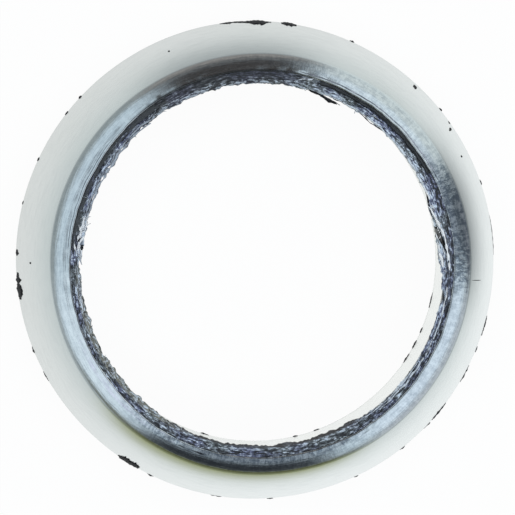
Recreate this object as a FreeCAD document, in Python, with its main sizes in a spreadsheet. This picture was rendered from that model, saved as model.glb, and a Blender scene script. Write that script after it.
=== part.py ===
import FreeCAD, Part
import math
import os
import Sketcher

# Exhaust ring gasket: a pressed core of knitted wire and graphite in a formed sheet jacket.
# Millimetres. The origin is the middle of the flat rear face, and the nose points along +Z.

SIZES = {
    "bore_radius": 22.8,
    "wall_width": 7.2,
    "sheet_thickness": 0.35,
    "core_face_width": 1.15,
    "lip_width": 2.1,
    "crown_inset": 0.8,
    "crown_round": 7.0,
    "shoulder_round": 0.9,
    "rear_gap": 0.4,
    "core_recess": 0.12,
    "core_clearance": 0.02,
    "mouth_chamfer": 0.35,
}

doc = FreeCAD.newDocument("ExhaustGasket")
sheet = doc.addObject("Spreadsheet::Sheet", "Sizes")
for row, (name, number) in enumerate(SIZES.items(), start=1):
    sheet.set(f"A{row}", name)
    sheet.set(f"B{row}", str(number))
    sheet.setAlias(f"B{row}", name)
doc.recompute()

# Formulas that both pieces share. Radii are measured from the ring's axis.
OUTER_RADIUS = "(Sizes.bore_radius + Sizes.wall_width)"
LIP_RADIUS = "(Sizes.bore_radius + Sizes.core_face_width)"
NOSE_RADIUS = f"({LIP_RADIUS} + Sizes.lip_width)"
CROWN_RADIUS = f"({LIP_RADIUS} - Sizes.crown_inset)"

# The seat is part of a ball. Its middle is on the axis, level with the jacket's rear edge, and
# it would meet the crown of the lip at the nose radius if the shoulder weren't rounded.
SEAT_RISE = f"sqrt({OUTER_RADIUS} ^ 2 - {NOSE_RADIUS} ^ 2)"
CROWN_RISE = f"sqrt(Sizes.crown_round ^ 2 - ({NOSE_RADIUS} - {CROWN_RADIUS}) ^ 2)"
CROWN_CENTRE_HEIGHT = f"(Sizes.rear_gap + {SEAT_RISE} - {CROWN_RISE})"
RING_HEIGHT = f"({CROWN_CENTRE_HEIGHT} + Sizes.crown_round)"

# Each skin lies this far inside the jacket's outside.
OUTSIDE = "0"
INSIDE = "Sizes.sheet_thickness"
CORE_SKIN = "(Sizes.sheet_thickness + Sizes.core_clearance)"

CORE_FRONT_HEIGHT = f"({RING_HEIGHT} - {CORE_SKIN} - Sizes.core_recess)"

# A sketch counts its two axes down from -1, and the points of a line or an arc up from 1.
REAR_PLANE, RING_AXIS = range(-1, -3, -1)
START, END, CENTRE = range(1, 4)
ORIGIN_POINT = (REAR_PLANE, START)


def value(formula):
    """Give the number that a formula of sheet names comes to."""
    return float(sheet.evalExpression(formula.replace("Sizes.", "")))


def point(radius, height):
    """A sketch point at a distance from the axis and a height above the rear face."""
    return FreeCAD.Vector(radius, height, 0)


def beyond(centre, through, reach):
    """The point at a distance from centre, in the direction of another point."""
    direction = through - centre
    return centre + direction * (reach / direction.Length)


def line(first, last):
    """A straight piece of a section."""
    return Part.LineSegment(first, last)


def arc(centre, first, last):
    """A round piece of a section, anticlockwise about centre from first to last."""
    circle = Part.Circle(centre, FreeCAD.Vector(0, 0, 1), centre.distanceToPoint(first))
    first_angle = math.atan2(first.y - centre.y, first.x - centre.x)
    last_angle = math.atan2(last.y - centre.y, last.x - centre.x)
    return Part.ArcOfCircle(circle, first_angle, last_angle)


def find_centres():
    """The middles of the seat, shoulder and crown arcs, which every skin shares."""
    seat_centre = point(0, value("Sizes.rear_gap"))
    crown_centre = point(value(CROWN_RADIUS), value(CROWN_CENTRE_HEIGHT))
    from_seat = value(f"{OUTER_RADIUS} - Sizes.shoulder_round")
    from_crown = value("Sizes.crown_round - Sizes.shoulder_round")
    across = crown_centre - seat_centre
    gap = across.Length
    along = (gap ** 2 + from_seat ** 2 - from_crown ** 2) / (2 * gap)
    aside = math.sqrt(from_seat ** 2 - along ** 2)
    upward = FreeCAD.Vector(-across.y, across.x, 0)
    shoulder_centre = seat_centre + across * (along / gap) + upward * (aside / gap)
    return seat_centre, shoulder_centre, crown_centre


def new_section(body):
    """A sketch on the body's XZ plane, so that x is the radius and y the height."""
    sketch = body.newObject("Sketcher::SketchObject", f"{body.Name}_section")
    plane = [part for part in body.Origin.OriginFeatures if part.Role == "XZ_Plane"][0]
    sketch.AttachmentSupport = [(plane, "")]
    sketch.MapMode = "FlatFace"
    return sketch


def bind(sketch, name, constraint, formula):
    """Add a named constraint whose value follows a formula."""
    sketch.renameConstraint(sketch.addConstraint(constraint), name)
    sketch.setExpression(f"Constraints.{name}", formula)


def hold_radius(sketch, name, geometry, end, formula):
    """Hold an end of a geometry at a distance from the axis."""
    constraint = Sketcher.Constraint("DistanceX", *ORIGIN_POINT, geometry, end, value(formula))
    bind(sketch, f"{name}_radius", constraint, formula)


def hold_height(sketch, name, geometry, end, formula):
    """Hold an end of a geometry at a height above the rear face."""
    constraint = Sketcher.Constraint("DistanceY", *ORIGIN_POINT, geometry, end, value(formula))
    bind(sketch, f"{name}_height", constraint, formula)


def bend(sketch, name, geometry, formula):
    """Give an arc its radius."""
    constraint = Sketcher.Constraint("Radius", geometry, value(formula))
    bind(sketch, f"{name}_round", constraint, formula)


def add_skin(sketch, name, skin, last_point):
    """Draw the seat, shoulder and crown of one skin, from the rear up to last_point.

    Each arc runs on into the next, so the shoulder has no edge.
    """
    seat_centre, shoulder_centre, crown_centre = find_centres()
    seat_round = value(f"{OUTER_RADIUS} - {skin}")
    crown_round = value(f"Sizes.crown_round - {skin}")
    rim = point(seat_round, seat_centre.y)
    shoulder_start = beyond(seat_centre, shoulder_centre, seat_round)
    shoulder_end = beyond(crown_centre, shoulder_centre, crown_round)
    seat = sketch.addGeometry(arc(seat_centre, rim, shoulder_start), False)
    shoulder = sketch.addGeometry(arc(shoulder_centre, shoulder_start, shoulder_end), False)
    crown = sketch.addGeometry(arc(crown_centre, shoulder_end, last_point), False)
    sketch.addConstraint(Sketcher.Constraint("Tangent", seat, END, shoulder, START))
    sketch.addConstraint(Sketcher.Constraint("Tangent", shoulder, END, crown, START))
    sketch.addConstraint(Sketcher.Constraint("PointOnObject", seat, CENTRE, RING_AXIS))
    hold_height(sketch, f"{name}_seat_centre", seat, CENTRE, "Sizes.rear_gap")
    hold_height(sketch, f"{name}_rim", seat, START, "Sizes.rear_gap")
    hold_radius(sketch, f"{name}_crown_centre", crown, CENTRE, CROWN_RADIUS)
    hold_height(sketch, f"{name}_crown_centre", crown, CENTRE, CROWN_CENTRE_HEIGHT)
    bend(sketch, f"{name}_seat", seat, f"{OUTER_RADIUS} - {skin}")
    bend(sketch, f"{name}_shoulder", shoulder, f"Sizes.shoulder_round - {skin}")
    bend(sketch, f"{name}_crown", crown, f"Sizes.crown_round - {skin}")
    return seat, crown


def turn_about_axis(body, sketch):
    """Turn a section full circle about the ring's axis."""
    ring = body.newObject("PartDesign::Revolution", f"{body.Name}_turned")
    ring.Profile = sketch
    ring.ReferenceAxis = (sketch, ["V_Axis"])
    ring.Angle = 360
    doc.recompute()
    if not sketch.FullyConstrained:
        raise ValueError(f"{sketch.Name} isn't fully constrained")


def make_jacket():
    """Formed sheet: seat, rounded shoulder and crowned lip in one piece of even thickness."""
    body = doc.addObject("PartDesign::Body", "jacket")
    body.Label = "jacket"
    sketch = new_section(body)
    crown_centre = find_centres()[-1]
    lip_outward = value("Sizes.crown_inset")
    lip_rise = math.sqrt(value("Sizes.crown_round") ** 2 - lip_outward ** 2)
    lip_outside = crown_centre + point(lip_outward, lip_rise)
    lip_inside = beyond(crown_centre, lip_outside, value(f"Sizes.crown_round - {INSIDE}"))
    outer_seat, outer_crown = add_skin(sketch, "outside", OUTSIDE, lip_outside)
    inner_seat, inner_crown = add_skin(sketch, "inside", INSIDE, lip_inside)

    # The lip is cut square to the sheet, so its cut points at the crown's centre.
    lip_cut = sketch.addGeometry(line(lip_outside, lip_inside), False)
    sketch.addConstraint(Sketcher.Constraint("Coincident", outer_crown, END, lip_cut, START))
    sketch.addConstraint(Sketcher.Constraint("Coincident", inner_crown, END, lip_cut, END))
    sketch.addConstraint(Sketcher.Constraint("PointOnObject", outer_crown, CENTRE, lip_cut))
    hold_radius(sketch, "lip", lip_cut, START, LIP_RADIUS)
    rim_outside = point(value(OUTER_RADIUS), value("Sizes.rear_gap"))
    rim_inside = point(value(f"{OUTER_RADIUS} - {INSIDE}"), value("Sizes.rear_gap"))
    rim_cut = sketch.addGeometry(line(rim_inside, rim_outside), False)
    sketch.addConstraint(Sketcher.Constraint("Coincident", inner_seat, START, rim_cut, START))
    sketch.addConstraint(Sketcher.Constraint("Coincident", outer_seat, START, rim_cut, END))
    turn_about_axis(body, sketch)
    body.Placement = FreeCAD.Placement()
    return body


def make_core():
    """Pressed wire and graphite: fills the jacket, with its rear, bore and front edge bare."""
    body = doc.addObject("PartDesign::Body", "core")
    body.Label = "core"
    sketch = new_section(body)
    crown_centre = find_centres()[-1]
    bore = value("Sizes.bore_radius")
    front = value(CORE_FRONT_HEIGHT)
    crown_round = value(f"Sizes.crown_round - {CORE_SKIN}")
    front_reach = math.sqrt(crown_round ** 2 - (front - crown_centre.y) ** 2)
    front_start = point(crown_centre.x + front_reach, front)
    seat, crown = add_skin(sketch, "core", CORE_SKIN, front_start)

    chamfer = value("Sizes.mouth_chamfer")
    mouth_top = point(bore + chamfer, front)
    mouth_side = point(bore, front - chamfer)
    rim = value(f"{OUTER_RADIUS} - {CORE_SKIN}")
    front_face = sketch.addGeometry(line(front_start, mouth_top), False)
    mouth = sketch.addGeometry(line(mouth_top, mouth_side), False)
    bore_wall = sketch.addGeometry(line(mouth_side, point(bore, 0)), False)
    rear_face = sketch.addGeometry(line(point(bore, 0), point(rim, 0)), False)
    rim_side = sketch.addGeometry(line(point(rim, 0), point(rim, value("Sizes.rear_gap"))), False)

    chain = [crown, front_face, mouth, bore_wall, rear_face, rim_side, seat]
    for before, after in zip(chain, chain[1:]):
        sketch.addConstraint(Sketcher.Constraint("Coincident", before, END, after, START))
    sketch.addConstraint(Sketcher.Constraint("Horizontal", front_face))
    sketch.addConstraint(Sketcher.Constraint("Horizontal", rear_face))
    sketch.addConstraint(Sketcher.Constraint("Vertical", bore_wall))
    sketch.addConstraint(Sketcher.Constraint("Vertical", rim_side))
    sketch.addConstraint(Sketcher.Constraint("PointOnObject", rear_face, START, REAR_PLANE))
    hold_radius(sketch, "bore", rear_face, START, "Sizes.bore_radius")
    hold_height(sketch, "front", front_face, END, CORE_FRONT_HEIGHT)
    hold_radius(sketch, "mouth", mouth, START, "Sizes.bore_radius + Sizes.mouth_chamfer")
    hold_height(sketch, "mouth_foot", mouth, END, f"{CORE_FRONT_HEIGHT} - Sizes.mouth_chamfer")
    turn_about_axis(body, sketch)
    body.Placement = FreeCAD.Placement()
    return body


def check_and_write(pieces):
    """Stop on any failed feature or shape, then write one file for each piece."""
    doc.recompute()
    for item in doc.Objects:
        if {"Invalid", "Error"} & set(item.State):
            raise ValueError(f"{item.Name} is {item.State}")
    for piece in pieces:
        if piece.Shape.isNull() or not piece.Shape.isValid() or len(piece.Shape.Solids) != 1:
            raise ValueError(f"{piece.Label} is not one valid solid")
    os.makedirs("parts", exist_ok=True)
    for piece in pieces:
        piece.Shape.exportStep(f"parts/{piece.Label}.step")
        print(piece.Label, "volume in mm3:", round(piece.Shape.Volume, 1))


check_and_write([make_jacket(), make_core()])
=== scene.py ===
import math
import random

import bpy
from mathutils import Matrix, Vector, noise


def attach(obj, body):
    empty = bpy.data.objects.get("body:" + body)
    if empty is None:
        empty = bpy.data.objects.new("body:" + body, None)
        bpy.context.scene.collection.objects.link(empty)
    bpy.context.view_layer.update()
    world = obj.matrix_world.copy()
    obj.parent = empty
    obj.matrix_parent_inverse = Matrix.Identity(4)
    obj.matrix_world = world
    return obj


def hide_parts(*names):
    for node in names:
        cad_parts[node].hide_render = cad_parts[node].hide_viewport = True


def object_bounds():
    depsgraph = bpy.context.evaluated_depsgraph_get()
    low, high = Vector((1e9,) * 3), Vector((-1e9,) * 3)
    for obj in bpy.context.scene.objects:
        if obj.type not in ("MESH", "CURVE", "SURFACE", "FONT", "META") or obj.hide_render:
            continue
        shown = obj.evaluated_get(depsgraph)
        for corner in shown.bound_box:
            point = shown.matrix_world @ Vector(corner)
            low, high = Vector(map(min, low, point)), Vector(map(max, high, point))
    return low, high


# Looks of the exhaust ring gasket. The section repeats the solids' sizes in millimetres, and
# every mesh is made in metres in the solids' own frame: rear face at z = 0, nose up.
# Angles round the ring are clockwise from twelve, as the camera sees it.

MM = 0.001

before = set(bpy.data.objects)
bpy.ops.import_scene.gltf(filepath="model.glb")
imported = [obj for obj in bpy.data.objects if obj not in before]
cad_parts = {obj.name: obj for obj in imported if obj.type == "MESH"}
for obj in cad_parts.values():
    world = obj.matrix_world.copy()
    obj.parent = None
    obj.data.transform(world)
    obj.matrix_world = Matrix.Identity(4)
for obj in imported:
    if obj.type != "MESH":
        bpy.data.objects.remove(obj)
CAD_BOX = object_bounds()

# The section's driving sizes.
OUTER_RADIUS = (CAD_BOX[1].x - CAD_BOX[0].x) / 2 / MM
WALL_WIDTH = 7.2
CORE_FACE_WIDTH = 1.15
LIP_WIDTH = 2.1
CROWN_INSET = 0.8
CROWN_ROUND = 7.0
SHOULDER_ROUND = 0.9
SHEET = 0.35
CORE_CLEARANCE = 0.02
CORE_RECESS = 0.12
REAR_GAP = 0.4

# What follows from them.
BORE_RADIUS = OUTER_RADIUS - WALL_WIDTH
LIP_RADIUS = BORE_RADIUS + CORE_FACE_WIDTH
NOSE_RADIUS = LIP_RADIUS + LIP_WIDTH
CROWN_RADIUS = LIP_RADIUS - CROWN_INSET
CORE_SKIN = SHEET + CORE_CLEARANCE
SEAT_RISE = math.sqrt(OUTER_RADIUS ** 2 - NOSE_RADIUS ** 2)
CROWN_RISE = math.sqrt(CROWN_ROUND ** 2 - (NOSE_RADIUS - CROWN_RADIUS) ** 2)
CROWN_HEIGHT = REAR_GAP + SEAT_RISE - CROWN_RISE
RING_HEIGHT = CROWN_HEIGHT + CROWN_ROUND
CORE_FRONT = RING_HEIGHT - CORE_SKIN - CORE_RECESS

# The rounding of the lip's cut edge, then how far outward of that edge the scribed line runs,
# and half the line's width.
EDGE_ROUND = 0.12
SCRIBED_LINE = 0.27
SCRIBED_HALF = 0.09

# The seat is satin up to the first height, and the lip is drawn from the second.
SATIN_TOP = 15.1
DRAWN_FROM = 15.45

# The core's pressed edge overhangs the bore by this much, except on the side where it broke off.
OVERHANG = 0.45
BROKEN_SIDE = 121
BROKEN_HALF = 26

# Where round the clock small lumps stand out of that edge.
MOUTH_LUMPS = (216, 222.5, 234.5, 252)

# The slit under the folded strip: where it lies, and how far it runs outward per degree.
SLIT_SIDE = 82.5
SLIT_RADIUS = 22.62
SLIT_RUN = 0.135

# How many steps round the ring the jacket and the core are made of.
JACKET_STEPS = 720
CORE_STEPS = 1440

# Graphite round the rear edge: clock angle, then length along the rim, half height and depth.
LARGE_CRUMBS = [
    (359.7, 4.2, 2.7, 0.16),
    (354.5, 3.2, 1.8, 0.12),
    (8, 1.9, 2.6, 0.22),
    (84, 5.0, 0.8, 0.08),
    (129.5, 2.8, 2.0, 0.14),
    (212.5, 3.0, 3.4, 0.24),
    (264, 3.4, 3.0, 0.2),
    (272, 0.8, 2.4, 0.14),
]
# Smaller crumbs outside and in the bore: clock angle, then length.
SMALL_CRUMBS = [
    (24, 0.6), (51, 0.5), (71, 0.7), (106, 2.6), (112, 0.8), (118.5, 2.4), (134, 1.2), (142, 0.9),
    (155, 0.6), (176.5, 0.8), (189.5, 1.4), (206, 0.9), (241, 1.4), (248, 0.9), (284, 0.5),
    (295, 0.5), (308, 0.6), (313, 0.5),
]
BORE_CRUMBS = [(103, 2.6), (113, 1.0), (118, 1.6), (123, 1.8), (160, 1.0), (167, 0.8), (196, 1.5)]
# The half height and depth of those outside.
SMALL_HALF = 0.9
SMALL_DEPTH = 0.16
# Marks on the seat: clock angle, then height above the rear face and half height of the mark.
SEAT_MARKS = [
    (42.2, 6, 1.8), (54.5, 4, 1.0), (55.6, 7, 0.9), (62.5, 9.5, 0.5), (201, 10.5, 0.4),
    (270, 10, 0.4), (337, 9.5, 0.4),
]

# The table's half width, and how far under the rear face it lies, so that the two faces don't
# share a plane.
TABLE_HALF = 3000.0
TABLE_GAP = 0.02

# The camera: how far off it stands, how it is tipped off the ring's axis, and towards which
# hour of the clock. Then, in pixels, the picture's width and the rear rim's radius and middle.
CAMERA_DISTANCE = 1000.0
CAMERA_TILT = math.radians(3.7)
CAMERA_SIDE = math.radians(304.5)
PICTURE_WIDTH = 515
RIM_IN_PICTURE = 238.6
MIDDLE_IN_PICTURE = (254.5, 259.7)


def clock(angle, radius, height):
    """A point at an angle clockwise from twelve, in millimetres from the axis and the rear."""
    return Vector((radius * math.sin(angle), radius * math.cos(angle), height)) * MM


def camera_way():
    """The direction from the ring to the camera."""
    return clock(CAMERA_SIDE, math.sin(CAMERA_TILT), math.cos(CAMERA_TILT)) / MM


def ease(given, low, high):
    """Ease from 0 to 1 while the number goes from low to high."""
    share = min(max((given - low) / (high - low), 0), 1)
    return share * share * (3 - 2 * share)


def near(angle, middle, half, soft):
    """1 within half degrees of a place on the clock, easing to 0 beyond."""
    apart = abs((math.degrees(angle) - middle + 180) % 360 - 180)
    return 1 - ease(apart, half - soft / 2, half + soft / 2)


def ripple(angle, across, length, width, seed=0):
    """Seamless noise round the ring, with features of a length along it and a width across."""
    around = BORE_RADIUS / length
    spot = Vector((around * math.sin(angle), around * math.cos(angle), across / width + seed))
    return noise.noise(spot)


def make_camera():
    """Look down on the nose so that the rim and the bore land where the photograph has them."""
    scale = RIM_IN_PICTURE / OUTER_RADIUS
    half = PICTURE_WIDTH / 2
    aim = Vector((half - MIDDLE_IN_PICTURE[0], MIDDLE_IN_PICTURE[1] - half, 0)) / scale * MM
    back = camera_way()
    data = bpy.data.cameras.new("camera")
    data.sensor_width = 36
    data.lens = CAMERA_DISTANCE * scale / PICTURE_WIDTH * data.sensor_width
    data.clip_start = 0.01
    data.clip_end = 10
    camera = bpy.data.objects.new("camera", data)
    camera.location = aim + back * CAMERA_DISTANCE * MM
    right = Vector((0, 1, 0)).cross(back).normalized()
    camera.rotation_euler = Matrix((right, back.cross(right), back)).transposed().to_euler()
    bpy.context.scene.collection.objects.link(camera)
    bpy.context.scene.camera = camera


class Nodes:
    """A short way to write a shader tree: each call adds a node and links what it is given."""

    def __init__(self, tree):
        self.tree = tree
        tree.nodes.clear()

    def give(self, socket, given):
        if isinstance(given, bpy.types.NodeSocket):
            self.tree.links.new(given, socket)
        else:
            socket.default_value = given

    def add(self, kind, settings=None, **inputs):
        """Add a node. An input is named by its socket, or by at0, at1 and so on for its number."""
        node = self.tree.nodes.new(kind)
        for key, setting in (settings or {}).items():
            setattr(node, key, setting)
        for key, given in inputs.items():
            name = key.replace("_", " ")
            self.give(node.inputs[int(name[2:]) if name.startswith("at") else name], given)
        return node

    def math(self, operation, *terms):
        inputs = {f"at{number}": term for number, term in enumerate(terms)}
        return self.add("ShaderNodeMath", {"operation": operation}, **inputs).outputs[0]

    def vector(self, operation, *terms):
        inputs = {f"at{number}": term for number, term in enumerate(terms)}
        node = self.add("ShaderNodeVectorMath", {"operation": operation}, **inputs)
        return node.outputs["Value" if operation in ("DOT_PRODUCT", "LENGTH") else "Vector"]

    def ramp(self, given, low, high, to_low=0.0, to_high=1.0):
        """Ease from one value to another while the input goes from low to high."""
        settings = {"interpolation_type": "SMOOTHSTEP"}
        inputs = {"at1": low, "at2": high, "at3": to_low, "at4": to_high}
        return self.add("ShaderNodeMapRange", settings, Value=given, **inputs).outputs[0]

    def noise(self, given, scale, detail=3.0, roughness=0.5, distortion=0.0):
        inputs = {"Vector": given, "Scale": scale, "Detail": detail, "Roughness": roughness}
        return self.add("ShaderNodeTexNoise", Distortion=distortion, **inputs).outputs["Fac"]

    def mix(self, factor, first, second):
        """Mix two colours."""
        node = self.add("ShaderNodeMix", {"data_type": "RGBA"})
        for name, given in (("Factor", factor), ("A", first), ("B", second)):
            self.give([s for s in node.inputs if s.name == name and s.enabled][0], given)
        return [s for s in node.outputs if s.enabled][0]

    def bump(self, height, strength, distance):
        """A normal bent by a height."""
        inputs = {"Strength": strength, "Distance": distance, "Height": height}
        return self.add("ShaderNodeBump", **inputs).outputs[0]

    def degrees_from(self, flat, degrees):
        """How many degrees a flat direction is from a place on the clock."""
        turn = math.radians(degrees)
        side = self.vector("DOT_PRODUCT", flat, (math.sin(turn), math.cos(turn), 0))
        return self.math("DEGREES", self.math("ARCCOSINE", side))

    def beside(self, flat, degrees, full, gone, most=1.0):
        """The most within some degrees of a place on the clock, easing to 0 where it is gone."""
        return self.ramp(self.degrees_from(flat, degrees), full, gone, most, 0.0)


class Spot:
    """Where the shaded point lies: its place, its direction and reach from the axis, its height."""

    def __init__(self, nodes):
        self.nodes = nodes
        self.place = nodes.add("ShaderNodeTexCoord").outputs["Object"]
        level = nodes.vector("MULTIPLY", self.place, (1, 1, 0))
        self.flat = nodes.vector("NORMALIZE", level)
        self.reach = nodes.vector("LENGTH", level)
        self.height = nodes.add("ShaderNodeSeparateXYZ", Vector=self.place).outputs["Z"]

    def turned(self, across):
        """Coordinates that turn with the ring's circle and change across it at a given rate."""
        lift = self.nodes.math("MULTIPLY", self.reach, across)
        lift = self.nodes.add("ShaderNodeCombineXYZ", Z=lift).outputs[0]
        return self.nodes.vector("ADD", self.flat, lift)

    def beside(self, degrees, full, gone, most=1.0):
        return self.nodes.beside(self.flat, degrees, full, gone, most)

    def beyond(self, low, high, to_low=0.0, to_high=1.0):
        """Ease from one value to another between two radii in millimetres."""
        return self.nodes.ramp(self.reach, low * MM, high * MM, to_low, to_high)

    def above(self, low, high, to_low=0.0, to_high=1.0):
        """Ease from one value to another between two heights in millimetres."""
        return self.nodes.ramp(self.height, low * MM, high * MM, to_low, to_high)


def new_material(name):
    """A node material with a Principled shader already wired to its output."""
    material = bpy.data.materials.new(name)
    material.use_nodes = True
    nodes = Nodes(material.node_tree)
    shader = nodes.add("ShaderNodeBsdfPrincipled")
    nodes.add("ShaderNodeOutputMaterial", Surface=shader.outputs[0])
    return material, nodes, shader


def wire_up(nodes, shader, **inputs):
    """Give the shader's inputs, by name, a socket or a plain value."""
    for key, given in inputs.items():
        nodes.give(shader.inputs[key.replace("_", " ")], given)


def lip_crinkle(nodes, spot, on_lip):
    """Fine rubbing on the lip, strongest at three o'clock and on the inner half at six."""
    dash = nodes.math("MULTIPLY", nodes.noise(spot.turned(9.0), 100.0, 3.0, 0.65), 0.3)
    speck = nodes.noise(spot.place, 1500.0, 4.0, 0.75)
    rubbed = nodes.ramp(nodes.math("MULTIPLY_ADD", speck, 0.7, dash), 0.40, 0.60)
    foot = spot.beside(185, 25.0, 50.0, 0.9)
    foot = nodes.math("MULTIPLY", foot, spot.beyond(LIP_RADIUS + 0.55, LIP_RADIUS + 1.15, 1.0, 0.2))
    plain = nodes.ramp(nodes.degrees_from(spot.flat, 285), 60.0, 90.0, 0.18, 0.38)
    right = spot.beside(79, 12.0, 26.0, 1.15)
    most = nodes.math("MAXIMUM", nodes.math("MAXIMUM", foot, right), plain)
    return nodes.math("MULTIPLY", rubbed, nodes.math("MULTIPLY", most, on_lip))


def jacket_material():
    """Bright formed steel: satin on the seat, drawn round the lip, rubbed in places, painted shade
    at its edge.
    """
    material, nodes, shader = new_material("bright_steel")
    spot = Spot(nodes)
    on_lip = spot.above(SATIN_TOP, DRAWN_FROM)
    cloud = nodes.noise(spot.place, 90.0, 2.0)
    lines = nodes.noise(spot.turned(420.0), 14.0, 3.0, 0.6)
    crinkle = lip_crinkle(nodes, spot, on_lip)
    clean = nodes.mix(cloud, (0.83, 0.86, 0.85, 1), (0.90, 0.915, 0.92, 1))
    drawing = nodes.ramp(on_lip, 0.0, 1.0, 0.06, 0.2)
    streaks = nodes.math("MULTIPLY", nodes.ramp(lines, 0.45, 0.62), drawing)
    faint = nodes.math("ADD", crinkle, streaks)
    drawn_steel = nodes.mix(faint, clean, (0.32, 0.36, 0.40, 1))
    # The lip's cut edge is painted near black round twelve, a painted shade that hides its
    # highlight there.
    edge = spot.beyond(LIP_RADIUS + 0.05, LIP_RADIUS + 0.4, 1.0, 0.0)
    painted_edge_shade = nodes.math("MULTIPLY", edge, spot.beside(348, 18.0, 34.0, 0.85))
    tint = nodes.mix(painted_edge_shade, drawn_steel, (0.05, 0.05, 0.055, 1))
    worked = nodes.math("MULTIPLY", lines, nodes.math("MULTIPLY", on_lip, 1.6))
    surface = nodes.math("MULTIPLY_ADD", crinkle, 0.5, worked)
    uneven = nodes.math("MULTIPLY_ADD", cloud, 0.5, surface)
    rough = nodes.math("MULTIPLY_ADD", cloud, 0.06, nodes.ramp(on_lip, 0.0, 1.0, 0.21, 0.08))
    normal = nodes.bump(uneven, 0.5, 0.012 * MM)
    wire_up(nodes, shader, Base_Color=tint, Metallic=1.0, Roughness=rough, Normal=normal)
    return material


def core_front(nodes, spot, pressed):
    """The colour of the core's front, with painted shade, and the share of it that is bared wire.
    """
    # Painted shade in the sunk ring beside the lip and round half past eleven, and a dusty brink at
    # eight.
    outward = spot.beyond(BORE_RADIUS + 0.1, BORE_RADIUS + 0.35)
    low = spot.above(CORE_FRONT - 0.3, CORE_FRONT - 0.1, 1.0, 0.0)
    sunk = nodes.math("MULTIPLY", outward, low)
    # Painted shade round half past eleven: darker graphite and fewer bright flecks there.
    painted_shade_near_twelve = spot.beside(345, 15.0, 40.0, 0.75)
    dull = spot.beside(236, 22.0, 42.0)
    dusty = nodes.math("MULTIPLY", dull, nodes.math("SUBTRACT", 1.0, outward))
    painted_shade_side = nodes.math("MULTIPLY", nodes.ramp(outward, 0.0, 1.0, 0.6, 1.0), painted_shade_near_twelve)
    dust_and_shade_near_twelve = nodes.math("MULTIPLY_ADD", dusty, 0.3, painted_shade_side)
    # The black brink at six, and painted shade inside the slit.
    brink = spot.beyond(BORE_RADIUS - 0.15, BORE_RADIUS + 0.2, 1.0, 0.0)
    brink = nodes.math("MULTIPLY", brink, spot.beside(176, 26.0, 40.0, 0.9))
    deep = spot.above(CORE_FRONT - 0.5, CORE_FRONT - 0.32, 1.0, 0.0)
    slit = nodes.math("MULTIPLY", spot.beside(SLIT_SIDE, 5.0, 7.0), deep)
    # What dims the bared wire: painted shade in the sunk ring, the slit and round half past eleven,
    # the dusty brink at eight, and the black brink at six.
    painted_shade_and_dust = nodes.math("MAXIMUM", sunk, dust_and_shade_near_twelve)
    blackened = nodes.math("MAXIMUM", slit, brink)
    painted_shade_and_dust = nodes.math("MAXIMUM", painted_shade_and_dust, blackened)
    bared = nodes.math("SUBTRACT", nodes.ramp(pressed, 0.76, 0.83), painted_shade_and_dust)
    # The colours, from the pits, near-black graphite deepened by painted shade, up to the bared
    # wire.
    pits = nodes.ramp(pressed, 0.64, 0.72)
    cast = nodes.ramp(nodes.noise(spot.place, 260.0, 2.0), 0.4, 0.6)
    soot = nodes.mix(cast, (0.125, 0.15, 0.165, 1), (0.12, 0.14, 0.24, 1))
    # The graphite is painted darker round half past eleven, a painted shade.
    graphite_and_painted_light = nodes.mix(painted_shade_near_twelve, soot, (0.03, 0.028, 0.03, 1))
    graphite = nodes.mix(pits, (0.018, 0.02, 0.025, 1), graphite_and_painted_light)
    brown = nodes.mix(nodes.math("MULTIPLY", dusty, pits), graphite, (0.18, 0.18, 0.15, 1))
    # Painted shade turns the sunk ring near black; the black brink at six and painted shade in the
    # slit follow.
    groove = nodes.mix(sunk, brown, (0.04, 0.045, 0.05, 1))
    groove = nodes.mix(brink, groove, (0.05, 0.045, 0.045, 1))
    groove = nodes.mix(slit, groove, (0.004, 0.004, 0.006, 1))
    return nodes.mix(bared, groove, (0.77, 0.87, 1.00, 1)), bared


def core_material():
    """Graphite pressed over knitted wire, dark in front and burnished in the bore."""
    material, nodes, shader = new_material("pressed_core")
    spot = Spot(nodes)
    strands = nodes.noise(spot.turned(260.0), 24.0, 4.0, 0.65, 0.7)
    grain = nodes.noise(spot.place, 2000.0, 3.0, 0.65)
    inner = spot.beyond(BORE_RADIUS - 0.4, BORE_RADIUS + 0.7, 0.05, -0.05)
    pressed = nodes.math("MULTIPLY_ADD", grain, 0.45, nodes.math("ADD", strands, inner))
    front, bared = core_front(nodes, spot, pressed)
    knit = nodes.ramp(nodes.noise(spot.place, 700.0, 2.0), 0.3, 0.7)
    burnished = nodes.mix(knit, (0.84, 0.83, 0.80, 1), (0.90, 0.89, 0.86, 1))
    at_front = spot.above(CORE_FRONT - 1.1, CORE_FRONT - 0.6)
    tint = nodes.mix(at_front, burnished, front)
    steel = nodes.ramp(at_front, 0.0, 1.0, 1.0, 0.0)
    metallic = nodes.math("MAXIMUM", steel, nodes.math("MULTIPLY", bared, 0.6))
    rough = nodes.ramp(metallic, 0.0, 1.0, 0.40, 0.2)
    normal = nodes.bump(pressed, 0.4, 0.04 * MM)
    wire_up(nodes, shader, Base_Color=tint, Metallic=metallic, Roughness=rough, Normal=normal)
    return material


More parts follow.
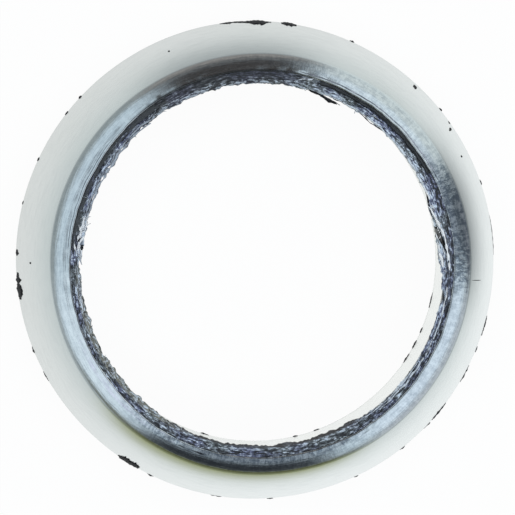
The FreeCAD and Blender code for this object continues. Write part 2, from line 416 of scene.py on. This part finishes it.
def foil_material():
    """Crumpled steel foil and flattened wire, dulled by graphite, with painted highlight and
    painted shade.
    """
    material, nodes, shader = new_material("crumpled_foil")
    spot = Spot(nodes)
    # Painted highlight: at the fold near three and the curls just past nine the foil is painted
    # near white and less metallic.
    painted_highlight = spot.beside(84, 14.0, 24.0)
    curled = spot.beside(279, 4.0, 9.0, 0.8)
    painted_highlight = nodes.math("MAXIMUM", painted_highlight, curled)
    graphite_and_painted_light = nodes.math("MULTIPLY_ADD", painted_highlight, 0.12, nodes.noise(spot.place, 1400.0, 3.0, 0.6))
    # Painted shade: the foil towards ten is painted darker.
    painted_shade_side = spot.beside(312, 40.0, 54.0, 0.7)
    steel = nodes.mix(painted_shade_side, (0.82, 0.88, 0.96, 1), (0.28, 0.32, 0.38, 1))
    bright = nodes.mix(painted_highlight, steel, (0.95, 0.97, 1.00, 1))
    tint = nodes.mix(nodes.ramp(graphite_and_painted_light, 0.36, 0.5), (0.25, 0.26, 0.30, 1), bright)
    metallic = nodes.ramp(painted_highlight, 0.0, 1.0, 0.6, 0.2)
    wire_up(nodes, shader, Base_Color=tint, Metallic=metallic, Roughness=0.25)
    return material


def graphite_material():
    """Black graphite pressed out at the rear edge."""
    material, nodes, shader = new_material("graphite_crumb")
    grain = nodes.noise(Spot(nodes).place, 2200.0, 3.0, 0.6)
    tint = nodes.mix(grain, (0.004, 0.004, 0.005, 1), (0.03, 0.03, 0.036, 1))
    normal = nodes.bump(grain, 0.8, 0.1 * MM)
    wire_up(nodes, shader, Base_Color=tint, Roughness=0.7, Normal=normal, Specular_IOR_Level=0.15)
    return material


def along_arc(centre, radius, first, last, count):
    """Points on a section arc, with angles from the radial direction, up being positive."""
    points = []
    for step in range(count + 1):
        angle = first + (last - first) * step / count
        across = centre[0] + radius * math.cos(angle)
        points.append((across, centre[1] + radius * math.sin(angle)))
    return points


def skin(depth, steps, last_radius):
    """One skin of the section, from the rear rim over the shoulder to a radius on the crown.

    The shoulder's arc touches the seat's and the crown's, so its centre is where two circles
    cross: one the seat's round less its own about the axis, one the crown's round less its own.
    """
    seat_steps, shoulder_steps, crown_steps = steps
    from_seat = OUTER_RADIUS - SHOULDER_ROUND
    from_crown = CROWN_ROUND - SHOULDER_ROUND
    rise = CROWN_HEIGHT - REAR_GAP
    gap = math.hypot(CROWN_RADIUS, rise)
    along = (gap ** 2 + from_seat ** 2 - from_crown ** 2) / (2 * gap)
    aside = math.sqrt(from_seat ** 2 - along ** 2)
    across = (CROWN_RADIUS * along - rise * aside) / gap
    above = (rise * along + CROWN_RADIUS * aside) / gap
    seat_end = math.atan2(above, across)
    crown_start = math.atan2(above - rise, across - CROWN_RADIUS)
    crown_end = math.acos((last_radius - CROWN_RADIUS) / (CROWN_ROUND - depth))
    seat = along_arc((0, REAR_GAP), OUTER_RADIUS - depth, 0, seat_end, seat_steps)
    shoulder_centre = (across, REAR_GAP + above)
    shoulder_round = SHOULDER_ROUND - depth
    shoulder = along_arc(shoulder_centre, shoulder_round, seat_end, crown_start, shoulder_steps)
    crown_centre = (CROWN_RADIUS, CROWN_HEIGHT)
    crown_round = CROWN_ROUND - depth
    crown = along_arc(crown_centre, crown_round, crown_start, crown_end, crown_steps)
    return seat + shoulder[1:] + crown[1:]


def crown_top(radius):
    """How high the crown's outside is at a radius."""
    return CROWN_HEIGHT + math.sqrt(CROWN_ROUND ** 2 - (radius - CROWN_RADIUS) ** 2)


def new_piece(name, points, faces, material):
    """A smooth mesh piece that rides on the ring."""
    mesh = bpy.data.meshes.new(name)
    mesh.from_pydata(points, [], faces)
    mesh.shade_smooth()
    mesh.materials.append(material)
    piece = bpy.data.objects.new(name, mesh)
    bpy.context.scene.collection.objects.link(piece)
    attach(piece, "root")
    return piece


def turned_piece(name, section_at, steps, material):
    """Turn a closed section about the axis, asking for the section afresh at every angle."""
    points = []
    faces = []
    for turn in range(steps):
        angle = math.tau * turn / steps
        section = section_at(angle)
        points.extend(clock(angle, radius, height) for radius, height in section)
        count = len(section)
        here = turn * count
        there = (turn + 1) % steps * count
        for index in range(count):
            after = (index + 1) % count
            faces.append((here + index, here + after, there + after, there + index))
    return new_piece(name, points, faces, material)


def lip_wave(angle):
    """How far the lip's cut edge strays from its circle."""
    wave = ripple(angle, 3, 2.5, 1) * 0.08 + ripple(angle, 5, 0.7, 1) * 0.04
    return wave - (0.3 * near(angle, 266, 48, 30) + 0.07 * near(angle, 40, 25, 8))


def make_jacket(material):
    """The formed sheet, a little uneven along its lip's cut edge as it comes off the press."""
    edge = LIP_RADIUS + EDGE_ROUND
    scribed_at = LIP_RADIUS + SCRIBED_LINE
    outside = skin(0, (28, 10, 16), scribed_at + SCRIBED_HALF)
    line = [(radius, crown_top(radius)) for radius in (scribed_at, scribed_at - SCRIBED_HALF)]
    rounded = along_arc((edge, crown_top(edge) - EDGE_ROUND), EDGE_ROUND, 1.7, math.pi, 5)
    inside = skin(SHEET, (10, 4, 6), LIP_RADIUS)
    section = outside + line + rounded + inside[::-1]
    # The wave moves the points from just outside the scribed line to just inside the sheet.
    lip_first = len(outside) - 3
    lip_last = len(outside) + len(line) + len(rounded) + 1

    def uneven(angle):
        out = ripple(angle, 0, 12, 1) * 0.05
        points = [(radius + out, height) for radius, height in section]
        wave = lip_wave(angle)
        lift = ripple(angle, 7, 1.6, 1) * 0.03
        for index in range(lip_first, lip_last + 1):
            radius, height = points[index]
            points[index] = (radius + wave, height + lift)
        scribed = 0.06 * near(angle, 38, 26, 6) + 0.02 * near(angle, 291, 20, 8)
        radius, height = points[len(outside)]
        points[len(outside)] = (radius, height - scribed)
        return points

    piece = turned_piece("jacket_sheet", uneven, JACKET_STEPS, material)
    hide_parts("jacket")


def mouth_radius(angle):
    """Where the core's ragged front edge ends above the bore."""
    kept = 1 - near(angle, BROKEN_SIDE, BROKEN_HALF, 12)
    overhang = OVERHANG + 0.42 * near(angle, 79, 10, 8) - 0.1 * near(angle, 180, 28, 20)
    overhang += 0.22 * near(angle, 281, 6, 2) - 0.06 * near(angle, 267, 7.5, 2)
    overhang -= 0.12 * near(angle, 203, 14, 10) + 0.06 * near(angle, 60, 6, 8)
    ragged = ripple(angle, 11, 1.3, 1) * 0.2 + ripple(angle, 13, 0.4, 1) * 0.16
    lumps = sum(near(angle, middle, 0.9, 1.4) for middle in MOUTH_LUMPS)
    return BORE_RADIUS - overhang * kept + ragged - 0.22 * lumps


def front_height(angle, radius, share):
    """The crumpled front of the core: sunk beside the lip in places, torn and pressed in layers.

    The share goes from 0 beside the lip to 1 at the mouth.
    """
    sunk = 0.5 * near(angle, 40, 22, 2) * (1 - ease(share, 0.42, 0.55))
    sunk += 0.35 * near(angle, 300, 27, 8) * (1 - ease(share, 0.6, 0.74))
    along = math.degrees(angle) - SLIT_SIDE
    aside = abs(radius - SLIT_RADIUS - along * SLIT_RUN)
    sunk += 0.7 * near(angle, SLIT_SIDE, 4.5, 2) * (1 - ease(aside + along * 0.045, 0.2, 0.32))
    plates = ease(ripple(angle, radius, 2.0, 0.22), -0.08, 0.08)
    flakes = ease(ripple(angle, radius, 0.9, 0.15, 4), 0.0, 0.12)
    waves = ripple(angle, radius, 0.8, 0.5, 9)
    relief = plates * 0.05 + flakes * 0.04 + waves * 0.08
    turned_down = 0.16 * ease(share, 0.5, 0.95) + 0.2 * ease(share, 0.92, 1.0)
    return min(CORE_FRONT + 0.04 - sunk + relief - turned_down, RING_HEIGHT - 0.06)


def make_core(material):
    """The pressed core, with its bare front ring crumpled and its bore mouth ragged."""
    hidden = skin(CORE_SKIN, (8, 3, 4), LIP_RADIUS + 0.35)
    front_start = hidden[-1][0]
    rows = 24
    bore_rows = 10
    mouth_foot = CORE_FRONT - 1.0
    bore_top = CORE_FRONT - 1.4
    rear = [(BORE_RADIUS, 0.0), (OUTER_RADIUS - CORE_SKIN, 0.0)]

    def crumpled(angle):
        mouth = mouth_radius(angle)
        front = []
        for row in range(1, rows + 1):
            share = row / rows
            radius = front_start + (mouth - front_start) * share
            front.append((radius, front_height(angle, radius, share)))
        under = [(mouth + 0.08, front[-1][1] - 0.25), (BORE_RADIUS, mouth_foot)]
        bore = []
        for row in range(bore_rows):
            height = bore_top * (1 - row / bore_rows)
            bore.append((BORE_RADIUS + ripple(angle, height, 3, 3) * 0.03, height))
        return hidden + front + under + bore + rear

    piece = turned_piece("core_body", crumpled, CORE_STEPS, material)
    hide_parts("core")


class Bits:
    """Many small loops of points gathered into one mesh, each lofted from end to end."""

    def __init__(self):
        self.points = []
        self.faces = []

    def loft(self, loops):
        base = len(self.points)
        count = len(loops[0])
        for loop in loops:
            self.points.extend(loop)
        for step in range(len(loops) - 1):
            for index in range(count):
                here = base + step * count + index
                after = base + step * count + (index + 1) % count
                self.faces.append((here, after, after + count, here + count))
        last = base + (len(loops) - 1) * count
        self.faces.append(tuple(base + index for index in reversed(range(count))))
        self.faces.append(tuple(last + index for index in range(count)))

    def finish(self, name, material):
        piece = new_piece(name, self.points, self.faces, material)


def shred(bits, span, reach, lift, width, wave=0.1, slope=0.3):
    """A torn strip on the core's front or at its mouth, along a span of the clock in degrees.

    It goes from the first to the second reach from the axis, and slopes down to the bore.
    """
    steps = max(int((span[1] - span[0]) * 4), 6)
    loops = []
    for step in range(steps + 1):
        share = step / steps
        angle = math.radians(span[0] + (span[1] - span[0]) * share)
        radius = reach[0] + (reach[1] - reach[0]) * share
        radius += ripple(angle, 17, 1.2, 1, reach[0]) * wave
        taper = math.sin(math.pi * min(max(share, 0.04), 0.96)) ** 0.5
        half = width / 2 * taper * (1 + ripple(angle, 19, 0.6, 1))
        height = CORE_FRONT + lift + ripple(angle, 23, 0.8, 1) * 0.1
        drop = half * (slope + ripple(angle, 29, 0.7, 1) * 0.5)
        loops.append([
            clock(angle, radius - half, height - drop),
            clock(angle, radius, height + 0.01),
            clock(angle, radius + half, height + drop),
            clock(angle, radius, height - 0.3),
        ])
    bits.loft(loops)


def whisker(bits, rng, middle, spread):
    """One short end of flattened wire, tilted any way, on the inner half of the core's front."""
    angle = math.radians(rng.gauss(middle, spread))
    reach = mouth_radius(angle) + rng.uniform(0.18, 0.85)
    start = clock(angle, reach, CORE_FRONT + rng.uniform(-0.08, 0.08))
    heading = rng.gauss(0, 0.6)
    along = clock(angle + math.pi / 2 + heading, 1, rng.uniform(-0.25, 0.35))
    across = clock(angle + heading, 1, rng.uniform(-0.1, 0.6))
    length = rng.uniform(0.25, 0.9)
    half = rng.uniform(0.03, 0.07)
    bend = rng.uniform(-0.2, 0.2)
    loops = []
    for share in (0.0, 0.35, 0.7, 1.0):
        middle_point = start + along * length * share + across * bend * share * share
        side = across * half * (1 - 0.5 * share)
        down = Vector((0, 0, -0.05 * MM))
        loops.append([middle_point - side, middle_point + side, middle_point + down])
    bits.loft(loops)


def make_shreds(material):
    """Torn strips of foil and ends of wire that stand out of the core's front."""
    bits = Bits()
    # The folded strip from half past two to three, and the foil under it.
    shred(bits, (71, 82.6), (21.98, 23.08), lift=0.1, width=0.32)
    shred(bits, (81.4, 92), (22.98, 23.4), lift=0.14, width=0.3)
    shred(bits, (80.2, 87.5), (22.0, 22.36), lift=-0.05, width=0.18)
    shred(bits, (86, 91), (22.1, 22.6), lift=0.02, width=0.4)
    # Thin bright layers left where the edge broke off.
    shred(bits, (97, 119), (23.3, 23.25), lift=0.1, width=0.18, wave=0.12)
    shred(bits, (116, 141), (23.35, 23.25), lift=0.1, width=0.2, wave=0.2)
    shred(bits, (121, 150), (22.95, 23.0), lift=0.04, width=0.12, wave=0.12)
    # The pressed edge from half past twelve to half past two, and from half past eight to eleven.
    shred(bits, (44, 69), (22.35, 22.35), lift=0.0, width=0.34, slope=0.25)
    shred(bits, (20, 46), (22.45, 22.4), lift=-0.02, width=0.22)
    shred(bits, (255, 266), (22.85, 22.6), lift=0.06, width=0.3, wave=0.3)
    shred(bits, (270, 283), (22.3, 22.85), lift=0.1, width=0.32, wave=0.4)
    shred(bits, (272, 300), (22.7, 22.5), lift=0.02, width=0.3, wave=0.35)
    shred(bits, (281, 322), (22.3, 22.3), lift=0.05, width=0.36, wave=0.3)
    shred(bits, (300, 331), (22.6, 22.65), lift=0.0, width=0.24, wave=0.3)
    # The flap that laps over the lip at half past twelve.
    shred(bits, (11.5, 17.8), (23.35, 23.95), lift=0.12, width=0.4)
    # The curls just past nine.
    shred(bits, (276.0, 279.4), (22.8, 22.15), lift=0.3, width=0.3, wave=0)
    shred(bits, (279.8, 280.9), (22.75, 22.2), lift=0.3, width=0.26, wave=0)
    shred(bits, (277.8, 279.2), (22.9, 22.86), lift=0.26, width=0.26, wave=0)
    shred(bits, (280.6, 282.2), (22.85, 22.7), lift=0.26, width=0.24, wave=0)
    shred(bits, (274.0, 276.6), (23.02, 23.3), lift=0.16, width=0.2, wave=0)
    rng = random.Random(11)
    for middle, spread, count in ((78, 9, 26), (235, 14, 30), (272, 7, 10), (300, 16, 30)):
        for _ in range(count):
            whisker(bits, rng, middle, spread)
    for _ in range(60):
        whisker(bits, rng, rng.uniform(0, 360), 1)
    bits.finish("torn_foil", material)


def seat_radius(height):
    """The jacket's outside radius at a height on the seat."""
    return math.sqrt(OUTER_RADIUS ** 2 - max(height - REAR_GAP, 0) ** 2)


def far_level(angle):
    """How high up the seat its outline lies, seen by a camera that leans to the other side."""
    lean = math.sin(CAMERA_TILT) * math.cos(math.radians(angle) - CAMERA_SIDE)
    return max(-OUTER_RADIUS * lean, 0)


def crumb(bits, rng, place, length, height, depth, inside=False):
    """One lump of graphite at a clock angle in degrees and a level, on the seat or in the bore."""
    angle, level = place
    rings = 8
    segments = max(int(length * 6), 6)
    seed = rng.uniform(0, 100)
    loops = []
    for step in range(segments + 1):
        share = step / segments
        turn = math.radians(angle) + (share - 0.5) * length / OUTER_RADIUS
        swell = math.sin(math.pi * min(max(share, 0.05), 0.95)) ** 0.45
        swell *= 0.8 + 0.6 * noise.noise(Vector((share * length * 2.2, seed, 0)))
        loop = []
        for index in range(rings):
            side = math.tau * index / rings
            rough = 1 + 0.6 * noise.noise(Vector((share * length * 4, index * 1.7, seed)))
            up = max(level + math.sin(side) * height * swell * rough, 0.01)
            out = math.cos(side) * depth * swell * rough
            surface = BORE_RADIUS if inside else seat_radius(up)
            loop.append(clock(turn, surface + out, up))
        loops.append(loop)
    bits.loft(loops)


def make_crumbs(material):
    """Graphite squeezed out and smeared round the jacket's rear edge, with a few marks above."""
    rng = random.Random(7)
    bits = Bits()
    for angle, length, height, depth in LARGE_CRUMBS:
        crumb(bits, rng, (angle, height + far_level(angle)), length, height, depth)
    for angle, length in SMALL_CRUMBS:
        crumb(bits, rng, (angle, SMALL_HALF + far_level(angle)), length, SMALL_HALF, SMALL_DEPTH)
    for angle, level, height in SEAT_MARKS:
        crumb(bits, rng, (angle, level), 0.2 + 0.2 * height, height, 0.03)
    for angle, length in BORE_CRUMBS:
        crumb(bits, rng, (angle, 0.4), length, 0.35, 0.12, inside=True)
    # Black flaps that hang from the mouth between half past twelve and half past two.
    shred(bits, (12.0, 26.5), (22.5, 21.95), lift=-0.4, width=0.26)
    shred(bits, (19.5, 25.5), (22.05, 21.9), lift=-0.45, width=0.44)
    shred(bits, (66.5, 74.5), (22.2, 21.98), lift=-0.1, width=0.16)
    shred(bits, (32.5, 38), (22.4, 22.1), lift=-0.4, width=0.13, wave=0.03)
    shred(bits, (37.4, 43), (22.1, 22.4), lift=-0.4, width=0.13, wave=0.03)
    # The dark insides of the curls just past nine.
    shred(bits, (274.6, 276.4), (22.3, 22.3), lift=0.22, width=0.3, wave=0)
    shred(bits, (276.8, 278.4), (22.95, 22.55), lift=0.2, width=0.24, wave=0)
    # The upright scratch at three o'clock.
    crumb(bits, rng, (94.5, 13.3), 0.1, 1.7, 0.012)
    bits.finish("graphite_bits", material)


class Tent:
    """A tent of light, whose cards are laid out by the slope of the metal that mirrors them.

    That slope lies halfway between the card and the picture's side, so its slant counts twice.
    """

    def __init__(self, nodes):
        self.nodes = nodes
        toward = nodes.add("ShaderNodeTexCoord").outputs["Generated"]
        slope = nodes.vector("NORMALIZE", nodes.vector("ADD", toward, camera_way()))
        self.flat = nodes.vector("NORMALIZE", nodes.vector("MULTIPLY", slope, (1, 1, 0)))
        rise = nodes.add("ShaderNodeSeparateXYZ", Vector=slope).outputs["Z"]
        rise = nodes.math("ARCCOSINE", rise)
        self.slant = nodes.math("MULTIPLY", nodes.math("DEGREES", rise), 2.0)
        roof = (0.06, 0.065, 0.085, 1)
        high = nodes.mix(nodes.ramp(self.slant, 6.0, 20.0), roof, (0.58, 0.70, 0.79, 1))
        wall = (0.38, 0.43, 0.45, 1)
        self.colour = nodes.mix(nodes.ramp(self.slant, 36.0, 48.0), high, wall)

    def hang(self, colour, side, band, soft):
        """Hang a lamp or a flag on its side of the clock and between two slants.

        The three soft edges are its sides', its upper one's and its lower one's.
        """
        nodes = self.nodes
        middle, half = side
        low, high = band
        wide = nodes.beside(self.flat, middle, half - soft[0], half + soft[0])
        under = nodes.ramp(self.slant, low - soft[1], low + soft[1])
        over = nodes.ramp(self.slant, high - soft[2], high + soft[2], 1.0, 0.0)
        share = nodes.math("MULTIPLY", wide, nodes.math("MULTIPLY", under, over))
        self.colour = nodes.mix(share, self.colour, (*colour, 1))


def light_tent():
    """A pale tent with brighter windows and three dark gaps, white where the camera looks."""
    world = bpy.data.worlds.new("light_tent")
    world.use_nodes = True
    bpy.context.scene.world = world
    nodes = Nodes(world.node_tree)
    tent = Tent(nodes)
    # The window at four o'clock.
    tent.hang((0.52, 0.57, 0.62), (122, 24), (38, 112), (6, 4, 4))
    tent.hang((0.76, 0.88, 1.00), (122, 26), (16, 38), (6, 9, 5))
    # The window at eight, with a dim card under it.
    tent.hang((0.74, 0.86, 0.95), (243, 19), (11, 39), (7, 6, 5))
    tent.hang((0.76, 0.81, 1.00), (228, 14), (5, 17), (6, 3, 4))
    tent.hang((0.18, 0.20, 0.18), (226, 13), (41, 60), (9, 3, 8))
    # The dimmer wall at ten.
    tent.hang((0.30, 0.345, 0.36), (300, 34), (40, 100), (8, 4, 8))
    # The window at half past one.
    tent.hang((0.68, 0.76, 0.78), (40, 22), (30, 120), (6, 4, 4))
    tent.hang((0.80, 0.92, 1.01), (41, 22), (13, 31), (5, 7, 4))
    # The gap at six, olive lower down.
    tent.hang((0.23, 0.27, 0.32), (184, 25), (4, 27), (7, 4, 4))
    tent.hang((0.03, 0.035, 0.042), (188, 27.5), (27, 49), (6, 5, 6))
    tent.hang((0.12, 0.13, 0.065), (189, 34), (49, 84), (8, 6, 8))
    tent.hang((0.20, 0.22, 0.10), (189, 36), (80, 125), (8, 8, 4))
    # The gap at half past two.
    tent.hang((0.23, 0.27, 0.32), (75, 17), (2, 30), (7, 4, 4))
    tent.hang((0.15, 0.175, 0.20), (77.5, 14.5), (27, 118), (7, 4, 4))
    tent.hang((0.20, 0.22, 0.25), (83, 13), (42, 62), (6, 3, 6))
    # The gap at twelve.
    tent.hang((0.27, 0.265, 0.26), (350, 25), (40, 110), (8, 4, 4))
    tent.hang((0.055, 0.052, 0.052), (351.5, 24), (2, 43), (8, 4, 9))
    seen = nodes.add("ShaderNodeLightPath").outputs["Is Camera Ray"]
    shown = nodes.mix(seen, tent.colour, (1, 1, 1, 1))
    light = nodes.add("ShaderNodeBackground", Color=shown)
    nodes.add("ShaderNodeOutputWorld", Surface=light.outputs[0])


def table_glow(nodes):
    """What metal sees of the table: brightest under the ring, and falling off around it."""
    spot = Spot(nodes)
    lit = nodes.ramp(nodes.degrees_from(spot.flat, 312), 30.0, 150.0)
    under = nodes.mix(lit, (0.76, 0.78, 0.77, 1), (0.95, 0.98, 0.98, 1))
    close = nodes.mix(spot.beyond(32, 56), under, (0.60, 0.66, 0.66, 1))
    bright = nodes.math("MAXIMUM", spot.beside(40, 18.0, 30.0), spot.beside(244, 10.0, 36.0, 0.6))
    far = nodes.mix(bright, (0.38, 0.42, 0.43, 1), (0.68, 0.75, 0.76, 1))
    glow = nodes.mix(spot.beyond(52, 90), close, far)
    around = spot.beyond(32, 54)
    for middle, full, gone, share in ((80, 6, 32, 0.8), (352, 10, 36, 0.45)):
        dark = nodes.math("MULTIPLY", spot.beside(middle, full, gone, share), around)
        glow = nodes.mix(dark, glow, (0.10, 0.11, 0.12, 1))
    foot = spot.beside(188, 24.0, 46.0)
    olive = nodes.math("MULTIPLY", foot, spot.beyond(42, 47))
    glow = nodes.mix(olive, glow, (0.32, 0.35, 0.17, 1))
    darker = nodes.math("MULTIPLY", foot, spot.beyond(52, 90))
    return nodes.mix(darker, glow, (0.17, 0.19, 0.09, 1))


def table_material():
    """White to the camera with a trace of the ring's shadow, and clear from below."""
    material = bpy.data.materials.new("white_table")
    material.use_nodes = True
    nodes = Nodes(material.node_tree)
    path = nodes.add("ShaderNodeLightPath").outputs
    shiny = nodes.math("MAXIMUM", path["Is Glossy Ray"], path["Is Transmission Ray"])
    seen = nodes.math("MAXIMUM", path["Is Camera Ray"], shiny)
    colour = nodes.mix(shiny, (1, 1, 1, 1), table_glow(nodes))
    glow = nodes.add("ShaderNodeEmission", Color=colour, Strength=1.0)
    paper = nodes.add("ShaderNodeBsdfDiffuse", Color=(0.9, 0.9, 0.9, 1))
    share = nodes.math("MULTIPLY", seen, 0.94)
    top = nodes.add("ShaderNodeMixShader", at0=share, at1=paper.outputs[0], at2=glow.outputs[0])
    below = nodes.add("ShaderNodeNewGeometry").outputs["Backfacing"]
    clear = nodes.add("ShaderNodeBsdfTransparent")
    surface = nodes.add("ShaderNodeMixShader", at0=below, at1=top.outputs[0], at2=clear.outputs[0])
    nodes.add("ShaderNodeOutputMaterial", Surface=surface.outputs[0])
    return material


def make_floor():
    """A white table, which also shows in the metal."""
    sides = ((-1, -1), (1, -1), (1, 1), (-1, 1))
    corners = [Vector((x * TABLE_HALF, y * TABLE_HALF, -TABLE_GAP)) * MM for x, y in sides]
    mesh = bpy.data.meshes.new("table")
    mesh.from_pydata(corners, [], [(0, 1, 2, 3)])
    mesh.materials.append(table_material())
    floor = bpy.data.objects.new("table", mesh)
    bpy.context.scene.collection.objects.link(floor)


def make_lamp():
    """A soft overhead lamp that brings dull surfaces and the table to an even level."""
    data = bpy.data.lights.new("overhead", "SUN")
    data.energy = 1.6
    data.angle = math.radians(60)
    lamp = bpy.data.objects.new("overhead", data)
    lamp.visible_glossy = False
    bpy.context.scene.collection.objects.link(lamp)


bpy.context.scene.view_settings.view_transform = "Standard"
make_camera()
light_tent()
make_lamp()
make_floor()
make_jacket(jacket_material())
make_core(core_material())
make_shreds(foil_material())
make_crumbs(graphite_material())
